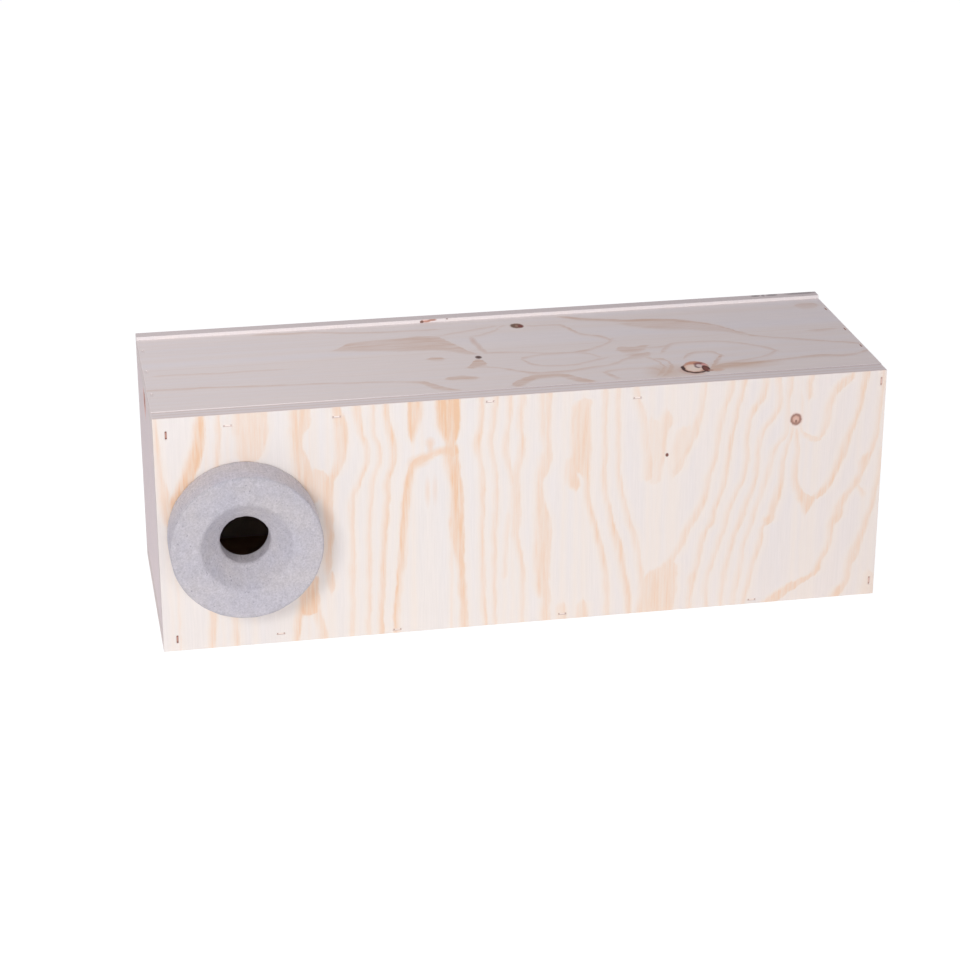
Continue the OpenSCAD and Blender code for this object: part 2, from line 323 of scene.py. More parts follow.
def wandering(tree, place, grain, along, across):
    """Both coordinates moved by noise: the across one by slow waves and a little by the fibres, and
    the along one by fibres 30 mm long, which feather the ends of a patch. Half of each noise's
    reach is taken off again, because it averages 0.5."""
    waves = ((16, 30, 2.2), (12, 4.0, 2.2), (9, 1.0, 1.5), (2.5, 0.6, 0.8))
    across = add(tree, "Math SUBTRACT", {0: across, 1: sum(reach for _, _, reach in waves) / 2})
    for length, broad, reach in waves:
        noise = grain_noise(tree, place, grain, length, broad, 1.0, length + broad)
        across = add(tree, "Math MULTIPLY_ADD", {0: noise, 1: reach, 2: across})
    fringe = grain_noise(tree, place, grain, 30, 3.2, 2.0, 8.0, 0.6)
    along = add(tree, "Math MULTIPLY_ADD", {0: fringe, 1: 4.0, 2: along})
    return add(tree, "Math SUBTRACT", {0: along, 1: 2.0}), across


def mottled(tree, strength, place, grain):
    """The strength of latewood, varied by clouds 4 mm broad and by streaks 1.3 mm broad."""
    cloud = grain_noise(tree, place, grain, 30, 4, 3.0, 4.0, 0.6)
    cloud = add(tree, "MapRange", {0: cloud, 1: 0.3, 2: 0.7, 3: 0.55, 4: 1.3})
    streak = grain_noise(tree, place, grain, 34, 1.3, 2.0, 2.0, 0.6)
    streak = add(tree, "MapRange", {0: streak, 1: 0.3, 2: 0.7, 3: 0.62, 4: 1.3})
    total = add(tree, "Math MULTIPLY", {0: strength, 1: cloud})
    return add(tree, "Math MULTIPLY", {0: total, 1: streak}, use_clamp=True)


def drawn_veneer(tree, bare, place, axes, way, size, lines, latewood, glow, creams):
    """Bare wood tinted from the left to the right, a glow round its growth lines, and the lines.

    way is the axes along and across the grain, and size is how far the lines' table reaches that
    way, in mm. glow is its reach in mm, its share and its colour. creams is the tint at the left,
    the tint at the right, and between which places, in mm along X, one turns into the other.
    """
    length, breadth = size
    along, across = wandering(tree, place, way[0], axes[way[0]], axes[way[1]])
    along = add(tree, "Math MULTIPLY", {0: along, 1: 1 / length})
    halo, glow_share, glow_colour = glow
    strength, near = all_lines(tree, along, across, length, breadth, lines, halo)
    strength = mottled(tree, strength, place, way[0])
    left, right, start, end = creams
    rightward = add(tree, "MapRange", {0: axes["X"], 1: start, 2: end})
    cream = add(tree, "Mix VECTOR", {0: rightward, 4: left, 5: right}, 1)
    colour = add(tree, "VectorMath MULTIPLY", {0: bare, 1: cream})
    near = add(tree, "Math MULTIPLY", {0: near, 1: glow_share})
    colour = add(tree, "Mix RGBA", {0: near, 6: colour, 7: linear(glow_colour)}, 2)
    return add(tree, "Mix RGBA", {0: strength, 6: colour, 7: linear(latewood)}, 2)


# Growth lines of the top panel: strength, then in mm (from the left end, from the front, width)
TOP_LINES = [
    # two long lines at the left
    (0.5, (0,40,2), (30,39,2.2), (90,34.5,1.8), (150,28.5,1.6), (172,25.5,2.4), (182,22,3.4), (190,14,10),
     (197,8,6), (206,4,1)),
    (0.3, (5,67,-1), (12,67,2), (60,65,2.2), (85,65,1.5), (100,65,-1)),
    # along the rear edge
    (0.45, (78,138,-1), (85,138,2), (105,136.5,3.4), (125,136,3), (140,132,2), (160,128.5,2.2),
     (205,126,2), (215,126,-1)),
    # broad tongue that ends at the small knot
    (0.4, (133,95.5,-1), (137,96,5), (142,99,11), (148,101,16), (180,99.5,25), (208,97,30), (213,92,25),
     (223,78,11), (227,73,5), (231,71,1)),
    (0.48, (137,98,-1), (140,100,5), (147,104,7), (156,107.5,5), (170,108.5,4.5), (184,109,5),
     (196,107.5,8), (206,103,11), (213,96,10), (219,88,7), (225,78,4), (229,73,-1)),
    (0.46, (131,95.5,-1), (136,96,3.5), (144,96,6), (154,93,4), (166,90.5,2.6), (180,88,3.4),
     (194,86.5,4.4), (206,86.5,4.4), (214,83.5,5), (221,79,4), (228,72.5,3), (232,70.5,-1)),
    (0.5, (193,66,-1), (196,66,3), (200,65.5,6), (205,65,4), (208,65,-1)),
    (0.5, (217,45,-1), (220,45,4), (224,49,11), (228,52,14), (231,53,12), (233,50,3), (234,50,-1)),
    (0.35, (206,112,-1), (212,112.5,1.6), (225,117,2), (250,124,2.4), (256,126,-1)),
    (0.35, (236,108,1.5), (244,111,2.2), (252,116,2), (258,124,2), (262,126,-1)),
    # ovals right of the small knot
    (0.4, (228,44,1.5), (236,42.5,2), (245,37,2.4), (253,31,3), (262,26,4), (275,24.5,4), (290,26.5,3),
     (320,34,2.4), (329,41,3), (337,45,7), (345,47,8), (350,50,-1)),
    (0.38, (236,71,-1), (240,70.5,2), (250,70,2), (262,68,1.8), (280,63,2.4), (295,61,2), (303,62,3.4),
     (310,65,3), (317,69.5,2), (324,75,2.4), (328,80,4), (331,84,-1)),
    (0.42, (274,122,-1), (280,121,1.4), (292,120.5,1.6), (299,119,2.2), (303,114,6), (306,107,6),
     (310,99,4), (316,94,2.6), (322,90,4), (326,86,5), (329,81,3), (331,80,-1)),
    (0.33, (258,55,-1), (260,56,5), (264,58,3), (272,60.5,2), (285,61,1.8), (298,60.5,1.8), (306,57.5,2.2),
     (310,53,3), (314,49,-1)),
    (0.4, (258,54,-1), (261,48,5), (266,42,3), (275,38.5,2), (290,37,2), (300,39.5,2), (308,43,2),
     (314,45,1.6), (320,47,-1)),
    # between the ovals and the big knot
    (0.42, (326,60,-1), (329,61,7), (334,60,12), (340,59,11), (346,61,9), (350,64,3), (353,66,-1)),
    (0.38, (340,44,-1), (345,41,2.4), (349,36,4), (351,29,8), (352.5,22,9), (353.5,18,-1)),
    (0.34, (340,4,-1), (344,8,2.4), (348,13,5), (350.5,18,7), (352,21,-1)),
    (0.42, (345,38.5,-1), (350,38,2), (354,37,3), (356.5,32,6), (358,26,9), (359,22,-1)),
    (0.38, (344,3,-1), (348,6.5,2.4), (352.5,12,4), (355.5,18,8), (358,23,8), (359,25,-1)),
    (0.36, (343,60.6,-1), (347,61,2), (356,60.5,2.6), (362,61.5,3), (368,64.5,2), (376,65.5,-1)),
    (0.38, (355,48,-1), (358,52,3), (361,56,6), (365,62,6), (370,66,2.6), (385,67,1.8), (400,65.5,1.8),
     (410,61.5,2), (420,55.5,2.2), (428,49,3), (434,43,5), (437,39,3), (438,37,-1)),
    (0.36, (392,20,-1), (400,22,1.6), (422,28,2), (430,32,3), (435,37,4), (438,40,-1)),
    (0.4, (368,34,-1), (371,38,3), (375,43,4), (382,46,2.6), (390,45,3), (395,40,5), (397,35,-1)),
    (0.5, (383,12,-1), (385,15,8), (388,22,7), (391,27,6), (395,34,6), (397,37,-1)),
    # right of the big knot
    (0.5, (382,12,-1), (385,12,10), (392,15,9), (400,16.5,8), (410,17,6), (420,18.5,3.4), (445,21.5,3),
     (455,23,3.4), (465,23,4), (480,21,3), (500,28,2)),
    # thick band at the rear right and the pale wood below it
    (0.6, (300,137,-1), (306,135,3), (312,132,4.4), (320,128,4.6), (330,125,4.4), (345,120,5),
     (375,115,6.5), (385,112,6.5), (405,100.5,4), (412,94,3.4), (418,86,4), (424,80,1.6)),
    (0.34, (340,114,-1), (350,111,8), (362,107,14), (375,104,18), (388,101,16), (398,96,14), (408,91,10),
     (415,85,7), (420,79,5), (424,74,-1)),
    (0.5, (422,78,1.5), (428,73.5,2.4), (440,67,2), (452,61.5,2.4), (500,42,2)),
    (0.3, (476,128,-1), (480,128,8), (487,128,12), (493,128,6), (496,128,-1)),
    (0.4, (468,74.5,-1), (474,74.5,2), (482,74.5,3.4), (490,75,2), (494,76,-1)),
    # short marks near the front edge
    (0.6, (200,26,-1), (203,26,5), (212,25.5,6.5), (220,24,5), (224,24,-1)),
    (0.5, (241,5,-1), (244,6,7), (250,10,12), (256,15,10), (264,19,8), (274,19,7), (282,15,8), (287,10,10),
     (292,6,8), (298,3,3), (300,3,-1)),
    (0.35, (306,20,-1), (309,17,5), (313,10,9), (316,6,4), (318,5,-1)),
    (0.35, (308,18,-1), (312,20,3), (325,22,1.6), (335,22,1.6), (343,20,2), (347,17,4), (349,12,-1)),
]


def blot(heart, edge=None, cover=1.0):
    """Stops of a plain knot: one colour out to its rim, where it fades."""
    return [(0.0, heart, cover), (0.75, edge or heart, cover), (1.0, edge or heart, cover * 0.6),
            (1.25, edge or heart, 0.0)]


def soft_spot(shade, cover):
    """Stops of a spot of latewood that fades all the way out."""
    return [(0.0, shade, cover), (0.45, shade, cover * 0.8), (1.3, shade, 0.0)]


# Knots of the top panel: in mm from the left end and from the front, two radii, colours outwards
TOP_KNOTS = [
    # a curl of latewood above the pin knot
    (232.8, 97.0, 2.4, 9.0, soft_spot("#D4AE94", 0.5)),
    (234.6, 84.0, 2.2, 9.0, soft_spot("#D4AE94", 0.45)),
    (236.6, 75.0, 1.8, 5.0, soft_spot("#D4AE94", 0.35)),
    # warm wood at both sides of the big knot and behind it
    (352.0, 12.0, 15.0, 13.0, soft_spot("#D8B08E", 0.42)),
    (404.0, 15.0, 26.0, 8.0, soft_spot("#D8B08E", 0.4)),
    (338.0, 49.0, 7.0, 3.0, soft_spot("#D4AE94", 0.35)),
    # the big knot: tan halo, black bark line, salmon rim, cream heart, then what lies in it
    (369.5, 11.5, 11.5, 10.8, [(0.0, "#E3C7B8", 0.9), (0.75, "#E3C7B8", 0.9),
                               (0.95, "#E6D0C4", 0.4), (1.12, "#EBDCD2", 0.0)]),
    (371.6, 14.4, 9.2, 9.2, [(0.0, "#3E1C14", 1.0), (0.94, "#3E1C14", 1.0), (1.0, "#6A4436", 0.9),
                             (1.1, "#9A7A6C", 0.0)]),
    (373.4, 18.1, 7.9, 9.7, [(0.0, "#D89C80", 1.0), (0.8, "#D89C80", 1.0), (1.0, "#D4A894", 0.9),
                             (1.15, "#E8CDBE", 0.0)]),
    (371.0, 15.3, 6.9, 7.8, [(0.0, "#FBE9D8", 1.0), (0.65, "#FBE4D2", 1.0), (0.9, "#F1CBB6", 1.0),
                             (1.08, "#C08A72", 0.0)]),
    (376.6, 22.0, 3.8, 3.4, blot("#94605A")),
    (374.3, 17.9, 2.1, 3.2, blot("#8A7270")),
    (375.8, 19.0, 2.1, 2.7, blot("#EAD6D0")),
    (379.3, 20.4, 1.7, 2.4, blot("#E8ACA4", cover=0.9)),
    (378.9, 12.6, 2.5, 6.0, [(0.0, "#7A4036", 1.0), (0.6, "#6E382E", 1.0), (0.95, "#3E1C14", 1.0),
                             (1.15, "#3E1C14", 0.0)]),
    (381.4, 9.0, 1.8, 1.5, blot("#A87868", cover=0.9)),
    (363.8, 16.4, 1.3, 3.4, blot("#36160F")),
    (385.4, 8.6, 5.2, 2.6, blot("#E2BAA2", cover=0.5)),
    # a red-brown knot at the rear and a pin knot beside the broad tongue
    (269.2, 123.0, 4.2, 4.7, [(0.0, "#A07C6A", 1.0), (0.55, "#8C6C5C", 1.0), (0.9, "#745646", 1.0),
                              (1.05, "#B09684", 0.6), (1.4, "#E2CCBC", 0.0)]),
    (266.6, 123.8, 1.6, 3.4, blot("#6C5444", cover=0.8)),
    (271.8, 121.8, 1.9, 3.1, blot("#784038")),
    (230.2, 63.6, 2.2, 2.9, blot("#4E3A38", "#6E5650")),
]


def top_figure(tree, bare, fibres, place, axes, normals):
    """Outer face of the top panel: growth lines in muted brown, then its knots. Its front edge
    is clean at the left and painted grey further right, as painted shade, so that its arris looks
    lit only at the left."""
    colour = drawn_veneer(tree, bare, place, axes, "XY", (500.0, 160.0), TOP_LINES, "#D4AE94",
                          (9.0, 0.45, "#F1E3D9"),
                          ((0.985, 0.972, 0.975), (0.995, 0.972, 0.955), 0.0, 250.0))
    for x, y, reach_x, reach_y, stops in TOP_KNOTS:
        colour = knot(tree, colour, place, (x, y, 0), (reach_x, reach_y, 0), stops)
    upward = add(tree, "Math GREATER_THAN", {0: normals["Z"], 1: 0.6})
    # Painted shade: the front edge turns grey from 120 mm to 230 mm along, so that only its left end looks
    # lit.
    wear_and_edge_shade = add(tree, "MapRange", {0: axes["X"], 1: 120.0, 2: 230.0})
    wear_and_edge_shade = add(tree, "Mix RGBA", {0: wear_and_edge_shade, 6: bare, 7: linear("#C6BCBC")}, 2)
    colour = add(tree, "Mix RGBA", {0: upward, 6: wear_and_edge_shade, 7: colour}, 2)
    forward = add(tree, "Math LESS_THAN", {0: normals["Y"], 1: -0.6})
    return colour, add(tree, "Math MAXIMUM", {0: upward, 1: forward})


dress("top_panel", plywood("spruce_plywood_top", "top_panel", "Z", "X", 5, 12.0, top_figure,
                           inward=-1), ARRIS)

# Front panel
#
# A full-size plywood board over the shell's front edges, with upright face grain and a 50 mm
# hole behind the ring. Its veneer shows arches, a sound knot and one pin knot in pale cream wood.

# Growth lines of the front panel: strength, then in mm (height, from the left end, width)
FRONT_LINES = [
    # left end, above and below the ring
    (0.5, (168,1.5,2), (130,3.5,3.5), (105,6.5,7), (96,7,5), (90,7,-1)),
    (0.86, (168,31.5,4.5), (150,29.5,7), (140,26.5,8.5), (130,23.5,9), (119,19,8), (105,12,7)),
    (0.42, (168,43,2), (150,42.5,2.5), (135,41.5,2.5), (120,41,1)),
    (0.4, (168,64,22), (160,64,23), (150,64,20), (140,63,17), (134,62,8), (130,62,-1)),
    (0.57, (30,34.5,4), (0,33,3.6)),
    (0.4, (30,49,4), (10,49,4), (0,49.5,3.6)),
    # tongue right of the ring
    (0.52, (168,97,12), (158,97,12), (150,94.5,8), (143,94.5,6.5), (136,96,9), (128,97.5,11), (120,99,12),
     (112,101,12), (104,103,9), (98,104,-1)),
    (0.54, (168,121,5), (155,123,8), (145,123.5,8), (135,123,6), (127,121.5,5), (121,118.5,5.5),
     (116,114,8), (110,113,9), (100,113.5,7), (85,114,6), (55,113,4), (45,113,-1)),
    (0.46, (127,106,-1), (124,106,8), (120,107,14), (116,108,16), (110,109,12), (103,111,4), (98,112,-1)),
    # small arch under the ring's right side
    (0.8, (50,104,-1), (45,103,5), (36,100,10), (28,99,13), (23,99,13), (19,99,6), (17,99,-1)),
    (0.59, (26,94,5), (15,92,4), (0,90.5,3)),
    (0.47, (26,103.5,5), (8,108,4.4), (0,109,5)),
    (0.5, (52,115,-1), (46,115,4), (40,115,4), (33,115,-1)),
    # three long lines
    (0.59, (168,134.5,3.5), (160,135,4), (150,136.5,3), (136,141,2.2), (128,140.5,2), (112,135,2),
     (105,131.5,2.2), (95,130,2.2), (60,130,2), (0,129,1.6)),
    (0.49, (168,145,2), (150,145,2), (135,149.5,2.2), (127,148.5,2), (118,145.5,2), (108,143.5,2),
     (95,142.5,2.2), (70,141.5,2), (40,141,2.2), (0,140.5,1.5)),
    (0.76, (168,154,2.6), (155,155,3), (133,159,3.2), (125,158,2.8), (115,155,2.6), (100,154,2.6),
     (40,150,2.6), (0,148.5,3)),
    # drop and funnel above the great arch
    (-0.76, (168,173,9), (158,172.5,8.5), (150,171.5,6.5), (141,171,1.5), (138,171,-1)),
    (1, (168,195.5,15), (158,196,15), (150,196.2,14), (145,196.8,11.5), (140,197.2,7.5),
     (137,197,5.5), (134,197.5,7), (130,198,8)),
    # the great arch, with a faint core
    (-0.72, (0,158.5,2.6), (20,159,2.6), (60,163.5,4), (95,166,4.6), (110,168,4.6), (120,170.5,4.6),
     (125,173,5), (128,176,3), (130,177,-1)),
    (0.3, (119,171,-1), (122,172,6), (125,174.5,9), (127,178,10), (129,182.5,10), (131,188,10),
     (132.5,192,9), (134,195,6), (136,196,-1)),
    (0.8, (137,197,5), (130,197.5,9), (122,198,8.5), (105,201,8), (95,201.5,8), (75,201.5,8.5),
     (45,204.5,4.5), (30,205.5,4), (0,206.5,4.5)),
    # long lines of the middle
    (0.63, (168,218.5,2.2), (155,218.5,2), (145,217,2.4), (140,215.5,4), (136,215.3,4.2), (131,215.8,3),
     (124,217,2.2), (115,218.8,2), (60,219,1.8), (20,220,1.6), (0,221,1.5)),
    (0.42, (168,227.5,3), (150,226.5,3), (138,224.5,2.6), (128,225.5,2.4), (115,227.5,2.2), (95,228.5,2.4),
     (75,228,2.6), (30,227,2.2), (0,228,1.6)),
    (0.39, (168,237.5,2.6), (150,237,2.6), (138,235,3.4), (130,234.5,3.6), (122,236,3.2), (113,238.5,2.4),
     (105,240,2)),
    (0.43, (168,246,3), (155,245,3.4), (145,245,3), (135,246,3.6), (125,245.5,4), (116,243.5,3.6),
     (108,242.3,4.6), (80,242.3,5.2), (70,242,4.6), (60,243.3,3.8), (50,245.5,2.8), (40,246.8,2.2),
     (0,247,2)),
    (0.32, (85,237.5,-1), (80,237,1.8), (38,234.3,2), (33,234,-1)),
    (0.54, (168,259.5,2.4), (150,259.8,2.6), (140,260.5,1.8), (125,261.5,-1)),
    (0.43, (168,264,4), (150,263.5,3), (130,263.5,4.5), (120,262,7.5), (112,260.5,7), (104,258.5,4.5),
     (95,258.3,5), (85,259.5,7), (75,261,10), (60,261,10.5), (40,260.5,10), (30,260.5,9), (20,262.5,7),
     (15,264,5), (0,263.5,5)),
    # broad patch with its two lobes, the right one running down as a line
    (0.47, (164,288,-1), (161,288,9), (155,286.5,12), (126,286.5,13.5), (118,286,14), (110,287.5,10),
     (106,290.3,4.6), (95,291.3,3), (85,293,3), (75,295.5,3.2), (40,304.3,3), (30,305.5,2.6),
     (0,306.8,2.6)),
    (0.46, (122,279,-1), (119,280,5), (110,280,7.5), (102,281,8), (97,283,3), (94,283.5,-1)),
    (0.52, (168,303.3,2.4), (120,303,2.2), (100,303.5,2.4), (90,304.8,2.4), (80,307,2.6), (50,314.5,4.6),
     (40,316.5,4.4), (10,321.8,3.2), (0,322.5,3)),
    (0.4, (168,311.3,2.2), (150,312.2,2.2), (110,312.8,2.2), (100,314,2.4), (70,321.5,3), (60,325,3.4),
     (50,327,3), (22,331,2)),
    (0.45, (14,275,-1), (9,275,4), (0,275,5)),
    (0.42, (15,289,-1), (10,289,6), (0,289,8)),
    # round the pin knot
    (0.37, (168,324,3), (160,325.5,3), (140,331,3.6), (130,331.8,4), (110,334.3,5.5), (102,334.5,6),
     (98,334.5,-1)),
    (0.18, (147,335,-1), (142,336.5,8), (136,338,11), (128,338.5,12), (115,338.8,11.5), (105,338.6,10),
     (98,338,7), (95,338,-1)),
    (0.33, (152,345.5,-1), (147,345.8,5), (141,346,9), (136,344.5,6), (128,343.5,4), (118,343.5,3.6),
     (100,341,3), (97,341,-1)),
    (0.2, (140,362,-1), (136,360,7), (130,358,11), (122,355.5,11), (104,352.5,6), (98,351.5,-1)),
    (0.31, (168,372,3), (155,370.5,3), (145,369,4), (135,366,5.5), (125,362.5,4.5), (115,358,5),
     (108,355,7), (103,353,4), (100,353,-1)),
    # patch at the bottom, and the slanting lines right of it
    (0.39, (42,350,-1), (36,350,9), (30,346,20), (25,343,25), (15,342.5,26), (0,341,26)),
    (0.42, (34,349,-1), (30,349,6), (15,349,6), (0,349,7)),
    (0.37, (30,349,3), (47,357,4.4), (57,361,4.6), (65,365,5), (73,370,5.4), (80,373,4), (100,377.5,2.8),
     (110,380.5,2.4), (130,382.5,2.6), (142,384,3.4), (158,389.5,3), (168,391,3)),
    (0.5, (0,366,2), (15,366.2,2.6), (25,368,4), (30,369.5,2.2), (50,373.5,2.4), (58,376,2.6), (66,380,3),
     (75,382,2.4), (95,388,2.6), (120,391,2.4), (145,395,2.4), (155,397.5,2.6), (168,399.5,2.6)),
    (0.42, (0,378,1.8), (15,377.5,2), (50,386,2.6), (60,388.5,2.2), (70,391,2.6), (88,397.5,2.6),
     (97,401.5,2), (108,403.3,2), (120,402.5,2), (130,403.5,2.2), (142,405.5,2.6), (148,408,4),
     (154,412.5,4), (160,414.3,3), (168,414.5,2.6)),
    (0.43, (0,388,2.4), (15,389.3,2), (30,391.3,2.6), (42,394.5,2.2), (55,396.5,2.6), (63,400,3.6),
     (82,406,2.2), (92,409,2.2), (102,411,2.2), (115,411,2.6), (125,412.5,2.8), (132,415.5,3),
     (143,423.5,3.4), (150,425,2.6), (160,424.5,2), (168,423,2.4)),
    (0.34, (0,397.5,2.4), (15,398.5,2.4), (22,400,3), (32,402,1.8), (45,403.5,1.6), (57,407,2), (66,409,3),
     (84,414.5,2), (98,418.5,3), (105,420.5,2.4), (113,422,3), (119,424.5,2.4), (124,428.5,2.6),
     (130,431,2), (138,431.5,1.8), (150,431,1.6), (158,431.5,3), (168,432,3)),
    (0.5, (0,405,2), (28,410,2.4), (48,415.5,2.6), (58,416.5,1.6), (61,420,5), (64,421,7), (68,423,4),
     (76,425,4.4), (85,427,4), (95,428.8,2.6), (105,429,2), (114,430.5,1.8), (122,433,1.6),
     (130,434.5,1.4)),
    # below and right of the sound knot
    (0.46, (128,437.5,1.2), (120,438.5,1.8), (110,439,2.2), (100,438.5,2.8), (90,439,4), (84,441,5.5),
     (80,444,8), (77,447,12), (74,448,9), (66,447.5,1.5), (64,447.5,-1)),
    (0.54, (73,450,-1), (76,452,3), (79,456,6), (82,459,6.5), (86,462.5,4.5), (95,466.5,4),
     (105,470.5,4.6), (115,473.5,4.4), (135,480,2.8), (145,482.5,3), (168,485.5,3.6)),
    (0.36, (130,441,1), (126,443,2.4), (123.5,447,7), (121.5,450.5,9), (119.5,451,3), (118,451,-1)),
    (0.44, (121,453,-1), (123,455,4), (128,457.5,4), (145,461,4.4), (152,463,4), (158,467,7), (162,471,8),
     (165,474,6), (168,476,2)),
    (0.54, (150,445.5,-1), (153,446,3), (160,446,3.2), (168,447,3)),
    (0.3, (130,440,1), (140,441.5,1.4), (150,441,1.2), (158,440,-1)),
    # right end
    (0.5, (168,497.5,2.6), (150,497,2.2), (110,492,2.6), (104,488,6), (98,487,5), (92,485,3.6),
     (86,482.5,5), (82,480,4), (76,475,5), (70,472,5.5), (62,470.5,6.5), (55,466.5,3.4), (47,466,2.6),
     (40,465,3.4), (26,459,3.6), (20,456,5), (17,451,8), (14,444,10), (10,438,11), (5,430,11), (0,424,10)),
    (0.36, (86,483,3), (81,486.5,3), (77,488.5,2), (74,489,-1)),
    (0.46, (110,499.5,1), (95,499,2), (80,497,2.4), (65,494,2.6), (55,491.5,3), (30,483,6), (22,480.5,4),
     (12,479,4), (6,475,7), (0,471,6)),
    (0.24, (20,496,-1), (15,496,6), (0,495,9)),
]

FRONT_LATEWOOD = "#EFC9A7"

# Knots and soft spots of the front panel: in mm from the left end and up, two radii, colours outwards
FRONT_KNOTS = [
    # faint wood round the crown of the great arch and its core
    (175, 125.6, 7.0, 4.4, soft_spot(FRONT_LATEWOOD, 0.5)),
    (180.5, 128.8, 6.0, 3.2, soft_spot(FRONT_LATEWOOD, 0.42)),
    (190.5, 132.0, 6.6, 3.2, soft_spot(FRONT_LATEWOOD, 0.5)),
    (183.3, 138.7, 3.2, 3.8, soft_spot(FRONT_LATEWOOD, 0.5)),
    (183.3, 133.5, 2.2, 4.6, soft_spot(FRONT_LATEWOOD, 0.45)),
    (181.2, 103, 1.9, 10, soft_spot(FRONT_LATEWOOD, 0.35)),
    (186.3, 104, 2.0, 10, soft_spot(FRONT_LATEWOOD, 0.25)),
    # the sound knot with its heart, and the pin knot
    (436.8, 136.9, 3.9, 4.2, [(0.0, "#E0BDAE", 1.0), (0.5, "#D9B09E", 1.0), (0.7, "#A98476", 1.0),
                              (0.9, "#A47E72", 1.0), (1.05, "#CDB0A2", 0.7), (1.2, "#F0DDD2", 0.6),
                              (1.6, "#F4E6DE", 0.0)]),
    (436.9, 135.4, 0.8, 1.2, blot("#A07C6E")),
    (346.5, 117.5, 1.1, 1.3, blot("#6A4038", "#8A6055")),
]


def front_figure(tree, bare, fibres, place, axes, normals):
    """Outer face of the front panel: growth lines in pale amber, then its knots."""
    colour = drawn_veneer(tree, bare, place, axes, "ZX", (170.0, 500.0), FRONT_LINES, FRONT_LATEWOOD,
                          (6.5, 0.6, "#F5EADE"),
                          ((0.98, 0.985, 0.955), (0.98, 0.96, 0.922), 200.0, 460.0))
    for x, z, reach_x, reach_z, stops in FRONT_KNOTS:
        colour = knot(tree, colour, place, (x, 0, z), (reach_x, 0, reach_z), stops)
    return colour, add(tree, "Math LESS_THAN", {0: normals["Y"], 1: -0.6})


dress("front_panel", plywood("spruce_plywood_front", "front_panel", "Y", "Z", 5, 5.0, front_figure,
                             inward=1), ARRIS)

# Staples
#
# Crowned staples of 1.2 mm coated wire, shot in from outside and sunk 0.6 mm. Each leaves a dent
# as long as its crown, in which the wire shows brown.


def staple_wire(name, coat, wear_and_edge_shade, torn=None, axis="X", centres=()):
    """Drawn steel wire with a thin resin coat, dull and stained.

    Where torn is given, torn fibres close over the middle of each staple in that colour and only
    its ends show dark: centres are the staples' places in mm along the axis of their crowns.
    """
    material, tree, shader = shaded(name)
    place = add(tree, "TexCoord", out="Object")
    stain = add(tree, "TexNoise", {"Vector": place, "Scale": 1 / (0.8 * MM), "Detail": 2.0})
    tint = add(tree, "Mix RGBA", {0: stain, 6: linear(coat), 7: linear(wear_and_edge_shade)}, 2)
    if torn:
        along = add(tree, "SeparateXYZ", {0: place}, axis)
        nearest = None
        for centre in centres:
            off = add(tree, "Math ADD", {0: along, 1: -centre * MM})
            off = add(tree, "Math ABSOLUTE", {0: off})
            nearest = off if nearest is None else add(tree, "Math MINIMUM", {0: nearest, 1: off})
        ends = add(tree, "MapRange", {0: nearest, 1: 1.5 * MM, 2: 2.2 * MM})
        tint = add(tree, "Mix RGBA", {0: ends, 6: linear(torn), 7: tint}, 2)
    tree.links.new(tint, shader.inputs["Base Color"])
    shader.inputs["Roughness"].default_value = 0.6
    return material


for side, coat, wear_and_edge_shade, torn, axis, centres in (
        ("top", "#C4ABA2", "#D6C4BC", "#F8ECE4", "X", (-201, -129, -26, 75)),
        ("bottom", "#B4988C", "#CCB4A8", "#F4E6DC", "X", (-170.5, -90.5, 25, 161)),
        ("left", "#6E3A2C", "#8A5444", "#BE9080", "Z", (156.5, 8.5)),
        ("right", "#B08A7E", "#C4A296", "#DCBEB0", "Z", (160.5, 10.5))):
    dress("front_staples_" + side,
          staple_wire("coated_wire_front_" + side, coat, wear_and_edge_shade, torn, axis, centres))
dress("top_staples_left", staple_wire("coated_wire_pale", "#F4ECE8", "#EADFDA"))
wire = staple_wire("coated_wire", "#9A7064", "#B48C7E")
for row in ("top_staples_right", "bottom_staples_left", "bottom_staples_right"):
    dress(row, wire)

# Entrance ring
#
# A thick ring cast in wood-concrete, with a straight wall, a funnel mouth and a straight bore.
# It stands on the front panel and is screwed on from inside. Its face is fine and slightly pitted.

RING_AXIS = (-193.5, 84.25)  # x and z
RING_SEAT = -67.0  # y of the front panel's outer face
RING_R = 50.75
RING_THICK = 29.0
MOUTH_R = 31.0
BORE_R = 16.75
FUNNEL_DEPTH = 15.0


def ring_profile():
    """Closed section of the ring as (radius, height above the board) in mm, evenly stepped: up
    the wall, over a rounded arris, in over the face, down the funnel and the bore, and back."""
    round_r = 2.2
    turn = [(RING_R - round_r * (1 - math.cos(a)), RING_THICK - round_r * (1 - math.sin(a)))
            for a in np.radians([0, 22.5, 45, 67.5, 90])]
    corners = [(RING_R - 1.1, 0.0), (RING_R, 1.0)] + turn + [
        (MOUTH_R + 1.5, RING_THICK), (MOUTH_R + 0.2, RING_THICK - 0.3),
        (MOUTH_R - 0.9, RING_THICK - 0.95),
        (BORE_R + 0.6, RING_THICK - FUNNEL_DEPTH + 0.6),
        (BORE_R, RING_THICK - FUNNEL_DEPTH - 0.6), (BORE_R, 0.0)]
    steps = [2, 26, 2, 2, 2, 2, 20, 2, 2, 22, 2, 14, 30]
    rows = []
    for (r0, h0), (r1, h1), n in zip(corners, corners[1:] + corners[:1], steps):
        t = np.arange(n) / n
        rows.append(np.stack([r0 + (r1 - r0) * t, h0 + (h1 - h0) * t], 1))
    return np.concatenate(rows)


def smooth_noise(rng, shape, passes):
    """Random numbers of unit spread on a closed grid, each averaged with its neighbours a few times."""
    field = rng.standard_normal(shape)
    for _ in range(passes):
        for axis in (0, 1):
            field = (np.roll(field, 1, axis) + 2 * field + np.roll(field, -1, axis)) / 4
    return field / field.std()


